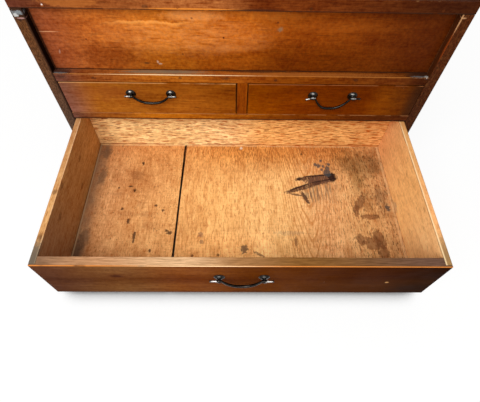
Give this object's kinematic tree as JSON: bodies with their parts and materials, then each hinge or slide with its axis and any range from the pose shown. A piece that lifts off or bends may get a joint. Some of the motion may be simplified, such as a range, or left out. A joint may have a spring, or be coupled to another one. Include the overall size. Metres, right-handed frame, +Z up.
{
  "type": "apothecary box",
  "caption": "Wooden box with a lidded compartment behind a set-back panel, small drawers and an open long drawer below, iron bail pulls.",
  "frame": {"origin": "middle of the underside of the case, not counting the open drawer", "axes": "+Z up, -Y out of the front, +X to the right of someone facing the front"},
  "size_m": [0.711, 0.7168, 0.3877],
  "materials": {
    "varnished_wood": "worn shellac over red-brown softwood",
    "side_board_wood": "worn shellac, dark dull front edges",
    "bare_wood": "bare, dry and stained",
    "back_wood": "bare and darkened",
    "iron": "dark, rubbed bright on the high spots",
    "steel": "dull"
  },
  "bodies": {
    "case": {"side_left": "side_board_wood", "side_right": "side_board_wood", "bottom_board": "back_wood", "compartment_floor": "varnished_wood", "middle_rail": "varnished_wood", "drawer_divider": "varnished_wood", "runner_left": "bare_wood", "runner_right": "bare_wood", "runner_centre": "bare_wood", "front_panel": "varnished_wood", "back_board_upper": "back_wood", "back_board_lower": "back_wood", "drawer_stops": "bare_wood", "case_nails": "iron", "back_nails": "iron", "hinge_left_case_leaf": "iron", "hinge_right_case_leaf": "iron", "hinge_pins": "steel", "hinge_case_screws": "iron"},
    "lid": {"lid_board": "varnished_wood", "lid_front_strip": "varnished_wood", "lid_batten_left": "bare_wood", "lid_batten_right": "bare_wood", "strip_nails": "iron", "batten_screws": "iron", "hinge_left_lid_leaf": "iron", "hinge_right_lid_leaf": "iron", "hinge_lid_screws": "iron"},
    "long_drawer": {"long_front": "varnished_wood", "long_side_left": "bare_wood", "long_side_right": "bare_wood", "long_back": "bare_wood", "long_bottom_left": "bare_wood", "long_bottom_right": "bare_wood", "long_brads": "iron", "long_rosettes": "iron", "long_posts": "iron", "long_nuts": "steel"},
    "left_drawer": {"left_front": "varnished_wood", "left_side_left": "bare_wood", "left_side_right": "bare_wood", "left_back": "bare_wood", "left_bottom": "bare_wood", "left_brads": "iron", "left_rosettes": "iron", "left_posts": "iron", "left_nuts": "steel"},
    "right_drawer": {"right_front": "varnished_wood", "right_side_left": "bare_wood", "right_side_right": "bare_wood", "right_back": "bare_wood", "right_bottom": "bare_wood", "right_brads": "iron", "right_rosettes": "iron", "right_posts": "iron", "right_nuts": "steel"},
    "bail_long": {"long_bail": "iron"},
    "bail_left": {"left_bail": "iron"},
    "bail_right": {"right_bail": "iron"}
  },
  "joints": [
    {"name": "lid_hinge", "type": "hinge", "parent": "case", "child": "lid", "pos_m": [0, 0.19395, 0.36755], "axis": [-1, 0, 0], "range_deg": [0, 110]},
    {"name": "long_drawer_slide", "type": "slide", "parent": "case", "child": "long_drawer", "axis": [0, -1, 0], "range_m": [-0.318, 0.012]},
    {"name": "left_drawer_slide", "type": "slide", "parent": "case", "child": "left_drawer", "axis": [0, -1, 0], "range_m": [0, 0.3]},
    {"name": "right_drawer_slide", "type": "slide", "parent": "case", "child": "right_drawer", "axis": [0, -1, 0], "range_m": [0, 0.3]},
    {"name": "long_bail_hinge", "type": "hinge", "parent": "long_drawer", "child": "bail_long", "pos_m": [0, -0.5161, 0.0953], "axis": [-1, 0, 0], "range_deg": [0, 170]},
    {"name": "left_bail_hinge", "type": "hinge", "parent": "left_drawer", "child": "bail_left", "pos_m": [-0.17135, -0.1981, 0.2063], "axis": [-1, 0, 0], "range_deg": [0, 170]},
    {"name": "right_bail_hinge", "type": "hinge", "parent": "right_drawer", "child": "bail_right", "pos_m": [0.17135, -0.1981, 0.2063], "axis": [-1, 0, 0], "range_deg": [0, 170]}
  ]
}
